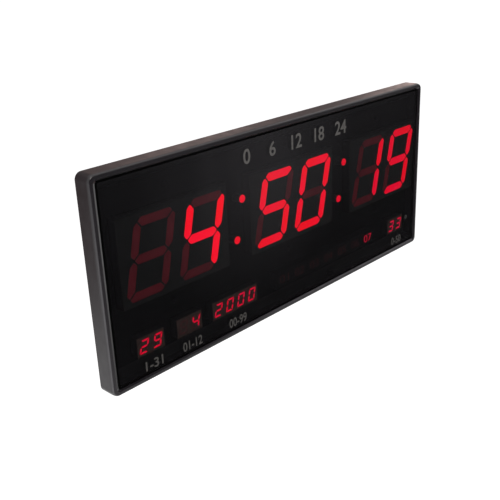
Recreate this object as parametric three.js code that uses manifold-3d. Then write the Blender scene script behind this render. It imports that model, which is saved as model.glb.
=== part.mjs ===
// A digital wall clock: a moulded bezel with a smoked lens, seven-segment displays on one circuit board,
// and a rear housing that hangs on the wall.
// Millimetres. +Z is up, the front faces -Y, and the origin is the middle of the rear face, on the wall.

import * as THREE from 'three';
import { mergeVertices } from 'three/addons/utils/BufferGeometryUtils.js';
import Module from 'manifold-3d';

const wasm = await Module();
wasm.setup();

// Large digits, between the centre lines of their segments
const DIGIT_WIDTH = 29;
const DIGIT_HEIGHT = 49.3;
const DIGIT_SPACE = 10.3;
const SEGMENT_THICKNESS = 6.4;
const SEGMENT_GAP = 1;
const SEGMENT_CORNER_CUT = 5.5;
const MODULE_LEFT_BORDER = 2.42;
const MODULE_RIGHT_BORDER = 0.62;
const MODULE_END_BORDER = 3.15;

// Small digits, between the centre lines of their segments
const SMALL_DIGIT_WIDTH = 5.6;
const SMALL_DIGIT_HEIGHT = 8.6;
const SMALL_DIGIT_SPACE = 4.4;
const SMALL_SEGMENT_THICKNESS = 1.7;
const SMALL_SEGMENT_GAP = 0.4;
const SMALL_CORNER_CUT = 0.8;
const SMALL_SIDE_BORDER = 1;
const SMALL_END_BORDER = 1.85;

// All digits lean to the right by this much for each unit of height
const LEAN = 0.231;

// Colons
const COLON_GAP = 23.7;
const COLON_SPACING = 29.8;
const COLON_RISE = 0.5;
const COLON_DIAMETER = 5.8;
const COLON_EDGE = 0.5;
const COLON_COLLAR = 0.6;
const COLON_COLLAR_HEIGHT = 1;

// Weekday windows
const WEEKDAY_COUNT = 7;
const WEEKDAY_PITCH = 18.8;
const WEEKDAY_WINDOW_WIDTH = 13.4;
const WEEKDAY_WINDOW_HEIGHT = 7.6;
const WEEKDAY_BORDER = 2.6;

// Spaces from the ledge's inner edge to the displays, and between the displays
const LEFT_SPACE = 11;
const RIGHT_SPACE = 0.4;
const UPPER_SPACE = 27.1;
const ROW_GAP = 23.6;
const LOWER_SPACE = 13.1;
const LOWER_ROW_LEFT_SPACE = 18.6;
const LOWER_ROW_RIGHT_SPACE = 14.9;
const DAY_TO_MONTH = 12;
const MONTH_TO_YEAR = 11.1;
const YEAR_TO_WEEKDAY = 22.7;
const WEEKDAY_TO_TEMPERATURE = 22.1;

// Bezel
const SIDE_RIM_WIDTH = 4.6;
const END_RIM_WIDTH = 4.1;
const BEZEL_WALL = 2.2;
const BEZEL_CORNER_RADIUS = 5;
const BEZEL_EDGE_RADIUS = 1.5;
const LEDGE_WIDTH = 1.4;
const LEDGE_THICKNESS = 1.2;
const OPENING_CORNER_RADIUS = 2.5;
const BOSS_DIAMETER = 6.4;
const BOSS_INSET = 2.8;
const BOSS_SPACING = 120;

// Lens, tape, display and board, from the front backwards
const LENS_RECESS = 0.8;
const LENS_THICKNESS = 1.5;
const LENS_CLEARANCE = 0.7;
const TAPE_THICKNESS = 0.4;
const DISPLAY_GAP = 0.3;
const DISPLAY_DEPTH = 7.8;
const GUIDE_PLATE_THICKNESS = 1;
const GUIDE_CLEARANCE = 0.12;
const GUIDE_SINK = 0.05;
const BOARD_THICKNESS = 1.6;
const BOARD_SIDE_CLEARANCE = 2.8;
const BOARD_BOSS_CLEARANCE = 4.8;
const FLANGE_GAP = 0.45;
const FLANGE_THICKNESS = 1.5;

// Gap between pieces that rest on each other, and how far a cutting tool reaches past what it cuts
const SEAT = 0.05;
const OVERCUT = 1;

// Rear cover
const COVER_WALL = 2;
const COVER_CLEARANCE = 0.3;
const COVER_CORNER_RADIUS = 6;
const COVER_EDGE_RADIUS = 2;
const COVER_SIDE_STEP = 4.5;
const COVER_END_STEP = 2.5;
const POST_DIAMETER = 6.4;
const KEYHOLE_SPACING = 180;
const KEYHOLE_HEIGHT = 32;
const KEYHOLE_ENTRY = 9;
const KEYHOLE_SLOT = 4.6;
const KEYHOLE_RISE = 10;
const DISH_DIAMETER = 27;
const DISH_DEPTH = 0.9;
const PANEL_WIDTH = 96;
const PANEL_HEIGHT = 34;
const PANEL_CORNER_RADIUS = 3;
const PANEL_DEPTH = 0.7;
const PANEL_DROP = 38;
const VENT_COUNT = 6;
const VENT_PITCH = 5.5;
const VENT_WIDTH = 2.4;
const VENT_LENGTH = 26;
const VENT_EDGE_DISTANCE = 36;

// Screws
const SCREW_DIAMETER = 2.6;
const SCREW_LENGTH = 8;
const SCREW_HEAD_DIAMETER = 5;
const SCREW_HEAD_HEIGHT = 1.8;
const SCREW_HEAD_TOP_DIAMETER = 3;
const SCREW_HEAD_EDGE = 0.7;
const SCREW_SLOT_LENGTH = 2.8;
const SCREW_SLOT_WIDTH = 0.7;
const SCREW_SLOT_DEPTH = 0.9;
const SCREW_HOLE_CLEARANCE = 0.15;
const SCREW_PASS_CLEARANCE = 0.3;
const SCREW_END_CLEARANCE = 0.5;

// Setting buttons and their switches, whose axes and the inlet's lie at one height over the board
const CONTROL_HEIGHT = 7;
const BUTTON_COUNT = 4;
const BUTTON_PITCH = 14;
const BUTTON_DIAMETER = 4.6;
const BUTTON_CLEARANCE = 0.15;
const BUTTON_FLANGE_DIAMETER = 6.6;
const BUTTON_FLANGE_THICKNESS = 1;
const BUTTON_PROJECTION = 1.4;
const BUTTON_EDGE = 0.4;
const BUTTON_TRAVEL = 0.5;
const BUTTON_FREE_GAP = 0.1;
const SWITCH_WIDTH = 6;
const SWITCH_DEPTH = 4;
const SWITCH_HEAD = 2.5;
const PLUNGER_DIAMETER = 3;
const PLUNGER_LENGTH = 0.5;

// DC inlet
const INLET_EDGE_DISTANCE = 75;
const INLET_WIDTH = 9;
const INLET_HEIGHT = 11;
const INLET_LENGTH = 14;
const INLET_COLLAR_DIAMETER = 8;
const INLET_COLLAR_CLEARANCE = 0.2;
const INLET_BORE_DIAMETER = 6.4;
const INLET_BORE_DEPTH = 9.5;
const INLET_PIN_DIAMETER = 2;
const INLET_PIN_SINK = 1;
const INLET_WALL_GAP = 0.3;

// Space behind the tallest piece on the board, which is the inlet
const REAR_CLEARANCE = 2.9;

// Other pieces on the back of the board, with their places across and up from the board's centre
const CONTROLLER_SIZE = 12;
const CONTROLLER_HEIGHT = 1.6;
const CONTROLLER_X = -50;
const CONTROLLER_Z = 5;
const DRIVER_LENGTH = 12.8;
const DRIVER_WIDTH = 7.5;
const DRIVER_HEIGHT = 2.3;
const CRYSTAL_LENGTH = 11;
const CRYSTAL_WIDTH = 4.6;
const CRYSTAL_HEIGHT = 3.6;
const CRYSTAL_X = -50;
const CRYSTAL_Z = 22;
const BUZZER_DIAMETER = 12;
const BUZZER_HEIGHT = 9.5;
const BUZZER_HOLE_DIAMETER = 2.4;
const BUZZER_HOLE_DEPTH = 3;
const BUZZER_X = 40;
const BUZZER_Z = 40;
const CELL_DIAMETER = 20;
const CELL_THICKNESS = 3.2;
const CELL_CLEARANCE = 0.3;
const HOLDER_WALL = 1.7;
const HOLDER_FLOOR = 1.2;
const HOLDER_RIM = 0.6;
const HOLDER_X = 62;
const HOLDER_Z = 5;
const SENSOR_DIAMETER = 5;
const SENSOR_FLAT = 1.2;
const SENSOR_HEIGHT = 4.6;
const SENSOR_EDGE_DISTANCE = 20;
const SENSOR_Z = -40;

// Facets: pairs in a quarter turn of an outline's corner, round a turned piece, and across a soft edge
const CORNER_FACETS = 3;
const VENT_FACETS = 1;
const ROUND_FACETS = 16;
const SCREW_FACETS = 12;
const DISH_FACETS = 48;
const EDGE_FACETS = 3;

// Sizes that follow from the ones above

const largeDigit = {
  width: DIGIT_WIDTH,
  height: DIGIT_HEIGHT,
  space: DIGIT_SPACE,
  thickness: SEGMENT_THICKNESS,
  gap: SEGMENT_GAP,
  cut: SEGMENT_CORNER_CUT,
  leftBorder: MODULE_LEFT_BORDER,
  rightBorder: MODULE_RIGHT_BORDER,
  endBorder: MODULE_END_BORDER,
};
const smallDigit = {
  width: SMALL_DIGIT_WIDTH,
  height: SMALL_DIGIT_HEIGHT,
  space: SMALL_DIGIT_SPACE,
  thickness: SMALL_SEGMENT_THICKNESS,
  gap: SMALL_SEGMENT_GAP,
  cut: SMALL_CORNER_CUT,
  leftBorder: SMALL_SIDE_BORDER,
  rightBorder: SMALL_SIDE_BORDER,
  endBorder: SMALL_END_BORDER,
};

// Places in a row of equal steps, about its middle
function centredRow(count, pitch) {
  return Array.from({ length: count }, (_, i) => (i - (count - 1) / 2) * pitch);
}

function digitPitch(digit) {
  return digit.width + digit.thickness + digit.space;
}

function moduleWidth(digit, count) {
  const leaning = (digit.height + digit.thickness) * LEAN;
  const digits = count * digitPitch(digit) - digit.space + leaning;
  return digits + digit.leftBorder + digit.rightBorder;
}

function moduleHeight(digit) {
  return digit.height + digit.thickness + 2 * digit.endBorder;
}

// Front face, seen from the front: x to the right, z up
const largeWidth = moduleWidth(largeDigit, 2);
const largeHeight = moduleHeight(largeDigit);
const pairWidth = moduleWidth(smallDigit, 2);
const yearWidth = moduleWidth(smallDigit, 4);
const smallHeight = moduleHeight(smallDigit);
const weekdayWidth = (WEEKDAY_COUNT - 1) * WEEKDAY_PITCH + WEEKDAY_WINDOW_WIDTH + 2 * WEEKDAY_BORDER;
const weekdayHeight = WEEKDAY_WINDOW_HEIGHT + 2 * WEEKDAY_BORDER;
const lowerRowHeight = Math.max(smallHeight, weekdayHeight);
const upperRow = LEFT_SPACE + 3 * largeWidth + 2 * COLON_GAP + RIGHT_SPACE;
const lowerRow = LOWER_ROW_LEFT_SPACE + 3 * pairWidth + yearWidth + weekdayWidth + LOWER_ROW_RIGHT_SPACE
  + DAY_TO_MONTH + MONTH_TO_YEAR + YEAR_TO_WEEKDAY + WEEKDAY_TO_TEMPERATURE;
const ledgeOpeningWidth = Math.max(upperRow, lowerRow);
const ledgeOpeningHeight = UPPER_SPACE + largeHeight + ROW_GAP + lowerRowHeight + LOWER_SPACE;
const openingWidth = ledgeOpeningWidth + 2 * LEDGE_WIDTH;
const openingHeight = ledgeOpeningHeight + 2 * LEDGE_WIDTH;
const frameWidth = openingWidth + 2 * SIDE_RIM_WIDTH;
const frameHeight = openingHeight + 2 * END_RIM_WIDTH;
const innerWidth = frameWidth - 2 * BEZEL_WALL;
const innerHeight = frameHeight - 2 * BEZEL_WALL;

const upperRowZ = ledgeOpeningHeight / 2 - UPPER_SPACE - largeHeight / 2;
const lowerRowZ = -ledgeOpeningHeight / 2 + LOWER_SPACE + lowerRowHeight / 2;
const hoursX = -ledgeOpeningWidth / 2 + LEFT_SPACE + largeWidth / 2;
const modulePitch = largeWidth + COLON_GAP;
const largeModuleXs = [0, 1, 2].map((place) => hoursX + place * modulePitch);
const digitShift = (MODULE_LEFT_BORDER - MODULE_RIGHT_BORDER) / 2;
const dayX = -ledgeOpeningWidth / 2 + LOWER_ROW_LEFT_SPACE + pairWidth / 2;
const monthX = dayX + pairWidth + DAY_TO_MONTH;
const yearX = monthX + (pairWidth + yearWidth) / 2 + MONTH_TO_YEAR;
const weekdayX = yearX + (yearWidth + weekdayWidth) / 2 + YEAR_TO_WEEKDAY;
const temperatureX = weekdayX + (weekdayWidth + pairWidth) / 2 + WEEKDAY_TO_TEMPERATURE;

// Depths, from the front face backwards, then from the wall forwards
const lensFrontDepth = LENS_RECESS;
const lensBackDepth = lensFrontDepth + LENS_THICKNESS;
const ledgeFrontDepth = lensBackDepth + TAPE_THICKNESS + 2 * SEAT;
const ledgeBackDepth = ledgeFrontDepth + LEDGE_THICKNESS;
const displayFrontDepth = lensBackDepth + DISPLAY_GAP;
const displayBackDepth = displayFrontDepth + DISPLAY_DEPTH;
const boardFrontDepth = displayBackDepth + SEAT;
const boardBackDepth = boardFrontDepth + BOARD_THICKNESS;
const flangeFrontDepth = boardBackDepth + FLANGE_GAP;
const bezelDepth = flangeFrontDepth + FLANGE_THICKNESS;
const coverInsideDepth = boardBackDepth + SEAT + INLET_HEIGHT + REAR_CLEARANCE;
const totalDepth = coverInsideDepth + COVER_WALL;
const frontY = -totalDepth;
const lensFrontY = frontY + lensFrontDepth;
const lensBackY = frontY + lensBackDepth;
const ledgeFrontY = frontY + ledgeFrontDepth;
const ledgeBackY = frontY + ledgeBackDepth;
const displayFrontY = frontY + displayFrontDepth;
const displayBackY = frontY + displayBackDepth;
const boardFrontY = frontY + boardFrontDepth;
const boardBackY = frontY + boardBackDepth;
const flangeFrontY = frontY + flangeFrontDepth;
const bezelBackY = frontY + bezelDepth;
const coverInsideY = -COVER_WALL;
const partSeatY = boardBackY + SEAT;
const controlY = boardBackY + CONTROL_HEIGHT;

// Board, screws and cover
const boardWidth = innerWidth - 2 * BOARD_SIDE_CLEARANCE;
const boardHeight = innerHeight - 2 * BOSS_INSET - BOSS_DIAMETER - 2 * BOARD_BOSS_CLEARANCE;
const screwRoom = BEZEL_WALL + BOSS_INSET + SCREW_HEAD_DIAMETER / 2;
const coverWidth = frameWidth - 2 * (screwRoom + COVER_SIDE_STEP);
const coverHeight = frameHeight - 2 * (screwRoom + COVER_END_STEP);
const coverBottomInside = -coverHeight / 2 + COVER_WALL;
const bossX = innerWidth / 2 - BOSS_INSET;
const bossZ = innerHeight / 2 - BOSS_INSET;
const coverScrewPlaces = [-bossZ, bossZ].flatMap((z) =>
  [-bossX, -BOSS_SPACING / 2, BOSS_SPACING / 2, bossX].map((x) => [x, z]));
const upperPostZ = (upperRowZ + largeHeight / 2 + boardHeight / 2) / 2;
const lowerPostZ = (upperRowZ - largeHeight / 2 + lowerRowZ + lowerRowHeight / 2) / 2;
const boardScrewPlaces = [lowerPostZ, upperPostZ].flatMap((z) => largeModuleXs.map((x) => [x, z]));
const inletX = boardWidth / 2 - INLET_EDGE_DISTANCE;
const sensorX = boardWidth / 2 - SENSOR_EDGE_DISTANCE;
const buttonXs = centredRow(BUTTON_COUNT, BUTTON_PITCH);
const keyholeXs = centredRow(2, KEYHOLE_SPACING);

// Materials

function plastic(color, roughness) {
  return new THREE.MeshStandardMaterial({ color, roughness, metalness: 0, flatShading: true });
}

function metal(color, roughness) {
  return new THREE.MeshStandardMaterial({ color, roughness, metalness: 1, flatShading: true });
}

const bezelPlastic = plastic(0x3c393b, 0.5);
const coverPlastic = plastic(0x2e2c2e, 0.6);
const lensAcrylic = new THREE.MeshStandardMaterial({
  color: 0x141314,
  roughness: 0.12,
  metalness: 0,
  transparent: true,
  opacity: 0.6,
  flatShading: true,
});
const tapeFoam = plastic(0x1a1a1a, 0.9);
const boardLaminate = plastic(0x1d3b2a, 0.5);
const housingPlastic = plastic(0x3a3838, 0.7);
const guideEpoxy = plastic(0xc8142c, 0.4);
const lampEpoxy = plastic(0xff1830, 0.3);
const chipPlastic = plastic(0x18181a, 0.6);
const buttonPlastic = plastic(0x232224, 0.5);
const inletPlastic = plastic(0x121213, 0.5);
const steel = metal(0x9a9a98, 0.35);
const zincSteel = metal(0x6e6c6a, 0.4);

// Solids

function toSolid(geometry) {
  const bare = geometry.clone();
  bare.deleteAttribute('normal');
  bare.deleteAttribute('uv');
  const merged = mergeVertices(bare);
  const corners = merged.index.array;
  const triangles = [];
  for (let i = 0; i < corners.length; i += 3) {
    const [a, b, c] = corners.slice(i, i + 3);
    // A lathe's poles leave triangles with two corners in one place
    if (a !== b && b !== c && c !== a) triangles.push(a, b, c);
  }
  const vertProperties = merged.attributes.position.array;
  const triVerts = Uint32Array.from(triangles);
  return new wasm.Manifold(new wasm.Mesh({ numProp: 3, vertProperties, triVerts }));
}

function toGeometry(solid) {
  const { vertProperties, triVerts } = solid.getMesh();
  const geometry = new THREE.BufferGeometry();
  geometry.setAttribute('position', new THREE.BufferAttribute(vertProperties, 3));
  geometry.setIndex(new THREE.BufferAttribute(triVerts, 1));
  geometry.computeVertexNormals();
  return geometry;
}

function unite(solids) {
  return solids.reduce((whole, solid) => whole.add(solid));
}

function cut(body, tools) {
  return tools.reduce((rest, tool) => rest.subtract(tool), body);
}

function roundedRectangle(width, height, radius, x = 0, z = 0) {
  const left = x - width / 2;
  const right = x + width / 2;
  const low = z - height / 2;
  const high = z + height / 2;
  const shape = new THREE.Shape();
  shape.moveTo(left + radius, low);
  shape.lineTo(right - radius, low);
  shape.absarc(right - radius, low + radius, radius, -Math.PI / 2, 0);
  shape.lineTo(right, high - radius);
  shape.absarc(right - radius, high - radius, radius, 0, Math.PI / 2);
  shape.lineTo(left + radius, high);
  shape.absarc(left + radius, high - radius, radius, Math.PI / 2, Math.PI);
  shape.lineTo(left, low + radius);
  shape.absarc(left + radius, low + radius, radius, Math.PI, Math.PI * 1.5);
  return shape;
}

// A shape drawn in x and z, extruded in depth from front to back
function prism(shape, front, back, curveSegments = CORNER_FACETS) {
  const depth = back - front;
  const geometry = new THREE.ExtrudeGeometry(shape, { depth, bevelEnabled: false, curveSegments });
  return toSolid(geometry.rotateX(Math.PI / 2).translate(0, back, 0));
}

function block(width, height, front, back, x, z) {
  const geometry = new THREE.BoxGeometry(width, back - front, height);
  return toSolid(geometry.translate(x, (front + back) / 2, z));
}

// A round bar along y
function bar(diameter, front, back, x, z, facets = ROUND_FACETS) {
  const geometry = new THREE.CylinderGeometry(diameter / 2, diameter / 2, back - front, facets);
  return toSolid(geometry.translate(x, (front + back) / 2, z));
}

// A round bar along z
function pillar(diameter, low, high, x, y) {
  const geometry = new THREE.CylinderGeometry(diameter / 2, diameter / 2, high - low, ROUND_FACETS);
  return toSolid(geometry.rotateX(Math.PI / 2).translate(x, y, (low + high) / 2));
}

// A turned piece along y, from its profile of [radius, depth] points
function turned(profile, facets) {
  const points = profile.map(([radius, depth]) => new THREE.Vector2(radius, depth));
  return toSolid(new THREE.LatheGeometry(points, facets));
}

// A block with a rounded edge at its front or back end, the other end cut square
function softBlock(width, height, radius, edge, front, back, roundFront) {
  const outerFront = roundFront ? front : front - 2 * edge;
  const outerBack = roundFront ? back + 2 * edge : back;
  const geometry = new THREE.ExtrudeGeometry(roundedRectangle(width, height, radius), {
    depth: outerBack - outerFront - 2 * edge,
    bevelEnabled: true,
    bevelThickness: edge,
    bevelSize: edge,
    bevelOffset: -edge,
    bevelSegments: EDGE_FACETS,
    curveSegments: CORNER_FACETS,
  });
  const solid = toSolid(geometry.rotateX(Math.PI / 2).translate(0, outerBack - edge, 0));
  return solid.intersect(block(width * 2, height * 2, front, back, 0, 0));
}

// Digits

// The seven segments of an upright digit, as outlines about its centre: top, upper right, lower right,
// bottom, lower left, upper left, middle
function segmentOutlines(digit, inset) {
  const w = digit.width / 2;
  const h = digit.height / 2;
  const t = digit.thickness / 2 - inset;
  const m = (digit.gap + 2 * inset) * Math.SQRT1_2;
  const near = (digit.cut - m) / 2;
  const far = (digit.cut + m) / 2;
  const top = [
    [-w + t + m, h - t],
    [w - t - m, h - t],
    [w + t - far, h + t - near],
    [w + t - digit.cut, h + t],
    [-w - t + digit.cut, h + t],
    [-w - t + far, h + t - near],
  ];
  const upperRight = [
    [w, m],
    [w + t, t + m],
    [w + t, h + t - digit.cut],
    [w + t - near, h + t - far],
    [w - t, h - t - m],
    [w - t, t + m],
  ];
  const middle = [
    [-w + m, 0],
    [-w + t + m, -t],
    [w - t - m, -t],
    [w - m, 0],
    [w - t - m, t],
    [-w + t + m, t],
  ];
  const across = (outline) => outline.map(([x, z]) => [-x, z]);
  const below = (outline) => outline.map(([x, z]) => [x, -z]);
  const lowerRight = below(upperRight);
  return [top, upperRight, lowerRight, below(top), across(lowerRight), across(upperRight), middle];
}

// The segments of all digits in a module, leaning and in place on the front face
function moduleOutlines(digit, count, x, z, inset) {
  const shift = x + (digit.leftBorder - digit.rightBorder) / 2;
  return centredRow(count, digitPitch(digit)).flatMap((step) => segmentOutlines(digit, inset)
    .map((outline) => outline.map(([u, v]) => new THREE.Vector2(shift + step + u + LEAN * v, z + v))));
}

// Scene graph

const clock = new THREE.Group();

function addPart(name, solid, material) {
  const mesh = new THREE.Mesh(toGeometry(solid), material);
  mesh.name = name;
  clock.add(mesh);
}

// Bezel, lens and tape

function makeBezel() {
  const body = softBlock(
    frameWidth,
    frameHeight,
    BEZEL_CORNER_RADIUS,
    BEZEL_EDGE_RADIUS,
    frontY,
    bezelBackY,
    true,
  );
  const recess = prism(
    roundedRectangle(openingWidth, openingHeight, OPENING_CORNER_RADIUS),
    frontY - OVERCUT,
    ledgeFrontY,
  );
  const window = prism(
    roundedRectangle(ledgeOpeningWidth, ledgeOpeningHeight, OPENING_CORNER_RADIUS - LEDGE_WIDTH),
    ledgeFrontY - OVERCUT,
    ledgeBackY + OVERCUT,
  );
  const cavity = prism(
    roundedRectangle(innerWidth, innerHeight, BEZEL_CORNER_RADIUS - BEZEL_WALL),
    ledgeBackY,
    bezelBackY + OVERCUT,
  );
  const bosses = coverScrewPlaces.map(([x, z]) =>
    bar(BOSS_DIAMETER, ledgeFrontY, flangeFrontY - SEAT, x, z, SCREW_FACETS));
  const insideBezel = block(frameWidth - BEZEL_WALL, frameHeight - BEZEL_WALL, frontY, bezelBackY, 0, 0);
  const holeDiameter = SCREW_DIAMETER + 2 * SCREW_HOLE_CLEARANCE;
  const holeFront = bezelBackY - SCREW_LENGTH - SCREW_END_CLEARANCE;
  const holes = coverScrewPlaces.map(([x, z]) =>
    bar(holeDiameter, holeFront, bezelBackY, x, z, SCREW_FACETS));
  const frame = cut(body, [recess, window, cavity]);
  return cut(frame.add(unite(bosses).intersect(insideBezel)), holes);
}

// The opening's outline, drawn in by the lens's clearance
function lensOutline() {
  return roundedRectangle(
    openingWidth - 2 * LENS_CLEARANCE,
    openingHeight - 2 * LENS_CLEARANCE,
    OPENING_CORNER_RADIUS - LENS_CLEARANCE,
  );
}

function makeLens() {
  return prism(lensOutline(), lensFrontY, lensBackY);
}

function makeTape() {
  const front = lensBackY + SEAT;
  const back = front + TAPE_THICKNESS;
  const outside = prism(lensOutline(), front, back);
  const inside = block(ledgeOpeningWidth, ledgeOpeningHeight, front - OVERCUT, back + OVERCUT, 0, 0);
  return outside.subtract(inside);
}

addPart('front_bezel', makeBezel(), bezelPlastic);
addPart('front_lens', makeLens(), lensAcrylic);
addPart('lens_tape', makeTape(), tapeFoam);

// Board

function makeBoard() {
  const holeDiameter = SCREW_DIAMETER + 2 * SCREW_PASS_CLEARANCE;
  const holes = boardScrewPlaces.map(([x, z]) =>
    bar(holeDiameter, boardFrontY - OVERCUT, boardBackY + OVERCUT, x, z, SCREW_FACETS));
  return cut(block(boardWidth, boardHeight, boardFrontY, boardBackY, 0, 0), holes);
}

addPart('main_board', makeBoard(), boardLaminate);

// Displays: a housing with windows, and behind it a plate of clear resin that fills the windows

const guidePlateFrontY = displayBackY - GUIDE_PLATE_THICKNESS;

function windowedHousing(width, height, x, z, outlines) {
  const body = block(width, height, displayFrontY, guidePlateFrontY - SEAT, x, z);
  const windows = outlines.map((outline) =>
    prism(new THREE.Shape(outline), displayFrontY - OVERCUT, guidePlateFrontY + OVERCUT));
  return cut(body, windows);
}

function lightGuide(width, height, x, z, outlines) {
  const plate = block(width, height, guidePlateFrontY, displayBackY, x, z);
  const fillBack = guidePlateFrontY + GUIDE_PLATE_THICKNESS / 2;
  const fills = outlines.map((outline) =>
    prism(new THREE.Shape(outline), displayFrontY + GUIDE_SINK, fillBack));
  return plate.add(unite(fills));
}

function addDisplay(name, digit, count, x, z) {
  const width = moduleWidth(digit, count);
  const height = moduleHeight(digit);
  const windows = moduleOutlines(digit, count, x, z, 0);
  const fills = moduleOutlines(digit, count, x, z, GUIDE_CLEARANCE);
  addPart(`${name}_housing`, windowedHousing(width, height, x, z, windows), housingPlastic);
  addPart(`${name}_light_guide`, lightGuide(width, height, x, z, fills), guideEpoxy);
}

['hours', 'minutes', 'seconds'].forEach((name, i) => {
  addDisplay(name, largeDigit, 2, largeModuleXs[i], upperRowZ);
});
addDisplay('day', smallDigit, 2, dayX, lowerRowZ);
addDisplay('month', smallDigit, 2, monthX, lowerRowZ);
addDisplay('year', smallDigit, 4, yearX, lowerRowZ);
addDisplay('temperature', smallDigit, 2, temperatureX, lowerRowZ);

function weekdayOutlines(inset) {
  const w = WEEKDAY_WINDOW_WIDTH / 2 - inset;
  const h = WEEKDAY_WINDOW_HEIGHT / 2 - inset;
  const corners = [[-w, -h], [w, -h], [w, h], [-w, h]];
  return centredRow(WEEKDAY_COUNT, WEEKDAY_PITCH).map((step) =>
    corners.map(([u, v]) => new THREE.Vector2(weekdayX + step + u, lowerRowZ + v)));
}

const weekdayWindows = weekdayOutlines(0);
const weekdayFills = weekdayOutlines(GUIDE_CLEARANCE);
const weekdayMask = windowedHousing(weekdayWidth, weekdayHeight, weekdayX, lowerRowZ, weekdayWindows);
const weekdayGuide = lightGuide(weekdayWidth, weekdayHeight, weekdayX, lowerRowZ, weekdayFills);
addPart('weekday_mask', weekdayMask, housingPlastic);
addPart('weekday_light_guide', weekdayGuide, guideEpoxy);

// Colon lamps, two between each pair of large modules

function colonLamp() {
  const radius = COLON_DIAMETER / 2;
  const back = boardFrontY - SEAT;
  return turned([
    [0, displayFrontY],
    [radius - COLON_EDGE, displayFrontY],
    [radius, displayFrontY + COLON_EDGE],
    [radius, back - COLON_COLLAR_HEIGHT],
    [radius + COLON_COLLAR, back - COLON_COLLAR_HEIGHT],
    [radius + COLON_COLLAR, back],
    [0, back],
  ], ROUND_FACETS);
}

const colonXs = [0, 1].map((place) => largeModuleXs[place] + modulePitch / 2 + digitShift);
colonXs.flatMap((x) => [-1, 1].map((side) => [x, side])).forEach(([x, side], i) => {
  const rise = (side * COLON_SPACING) / 2;
  const place = [x + LEAN * rise, 0, upperRowZ + COLON_RISE + rise];
  addPart(`colon_lamp_${i + 1}`, colonLamp().translate(place), lampEpoxy);
});

// Pieces on the back of the board

addPart('microcontroller', block(
  CONTROLLER_SIZE,
  CONTROLLER_SIZE,
  partSeatY,
  partSeatY + CONTROLLER_HEIGHT,
  CONTROLLER_X,
  CONTROLLER_Z,
), chipPlastic);

largeModuleXs.forEach((x, i) => {
  const driver = block(DRIVER_LENGTH, DRIVER_WIDTH, partSeatY, partSeatY + DRIVER_HEIGHT, x, CONTROLLER_Z);
  addPart(`digit_driver_${i + 1}`, driver, chipPlastic);
});

const crystalEnd = CRYSTAL_WIDTH / 2;
const crystalShape = roundedRectangle(CRYSTAL_LENGTH, CRYSTAL_WIDTH, crystalEnd, CRYSTAL_X, CRYSTAL_Z);
addPart('clock_crystal', prism(crystalShape, partSeatY, partSeatY + CRYSTAL_HEIGHT), steel);

function makeBuzzer() {
  const back = partSeatY + BUZZER_HEIGHT;
  const can = bar(BUZZER_DIAMETER, partSeatY, back, BUZZER_X, BUZZER_Z);
  const holeFront = back - BUZZER_HOLE_DEPTH;
  return can.subtract(bar(BUZZER_HOLE_DIAMETER, holeFront, back + OVERCUT, BUZZER_X, BUZZER_Z));
}

addPart('buzzer', makeBuzzer(), chipPlastic);

const cellFrontY = partSeatY + HOLDER_FLOOR + SEAT;
const cellBackY = cellFrontY + CELL_THICKNESS;

function makeCellHolder() {
  const pocketDiameter = CELL_DIAMETER + 2 * CELL_CLEARANCE;
  const side = pocketDiameter + 2 * HOLDER_WALL;
  const body = block(side, side, partSeatY, cellBackY + HOLDER_RIM, HOLDER_X, HOLDER_Z);
  const pocketBack = cellBackY + HOLDER_RIM + OVERCUT;
  return body.subtract(bar(pocketDiameter, partSeatY + HOLDER_FLOOR, pocketBack, HOLDER_X, HOLDER_Z));
}

addPart('coin_cell_holder', makeCellHolder(), chipPlastic);
addPart('coin_cell', bar(CELL_DIAMETER, cellFrontY, cellBackY, HOLDER_X, HOLDER_Z), steel);

function makeSensor() {
  const back = partSeatY + SENSOR_HEIGHT;
  const body = bar(SENSOR_DIAMETER, partSeatY, back, sensorX, SENSOR_Z);
  const flatZ = SENSOR_Z + SENSOR_FLAT + SENSOR_DIAMETER / 2;
  const flatSide = SENSOR_DIAMETER + OVERCUT;
  const flat = block(flatSide, SENSOR_DIAMETER, partSeatY - OVERCUT, back + OVERCUT, sensorX, flatZ);
  return body.subtract(flat);
}

addPart('temperature_sensor', makeSensor(), chipPlastic);

// DC inlet, facing down through the cover's lower wall

const coverBottom = -coverHeight / 2;

function makeInlet() {
  const front = coverBottomInside + INLET_WALL_GAP;
  const middle = front + INLET_LENGTH / 2;
  const body = block(INLET_WIDTH, INLET_LENGTH, partSeatY, partSeatY + INLET_HEIGHT, inletX, middle);
  const collar = pillar(INLET_COLLAR_DIAMETER, coverBottom, front + OVERCUT, inletX, controlY);
  const boreEnd = coverBottom + INLET_BORE_DEPTH;
  const bore = pillar(INLET_BORE_DIAMETER, coverBottom - OVERCUT, boreEnd, inletX, controlY);
  const pin = pillar(INLET_PIN_DIAMETER, coverBottom + INLET_PIN_SINK, boreEnd + OVERCUT, inletX, controlY);
  return body.add(collar).subtract(bore).add(pin);
}

addPart('dc_inlet', makeInlet(), inletPlastic);

// Setting switches, and the button caps that press them upwards

const capFlangeLow = coverBottomInside + SEAT;
const capFlangeHigh = capFlangeLow + BUTTON_FLANGE_THICKNESS;
const plungerEnd = capFlangeHigh + BUTTON_TRAVEL + BUTTON_FREE_GAP;

function makeSwitch(x) {
  const low = plungerEnd + PLUNGER_LENGTH;
  const middle = low + SWITCH_DEPTH / 2;
  const body = block(SWITCH_WIDTH, SWITCH_DEPTH, partSeatY, controlY + SWITCH_HEAD, x, middle);
  return body.add(pillar(PLUNGER_DIAMETER, plungerEnd, low + OVERCUT, x, controlY));
}

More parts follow.
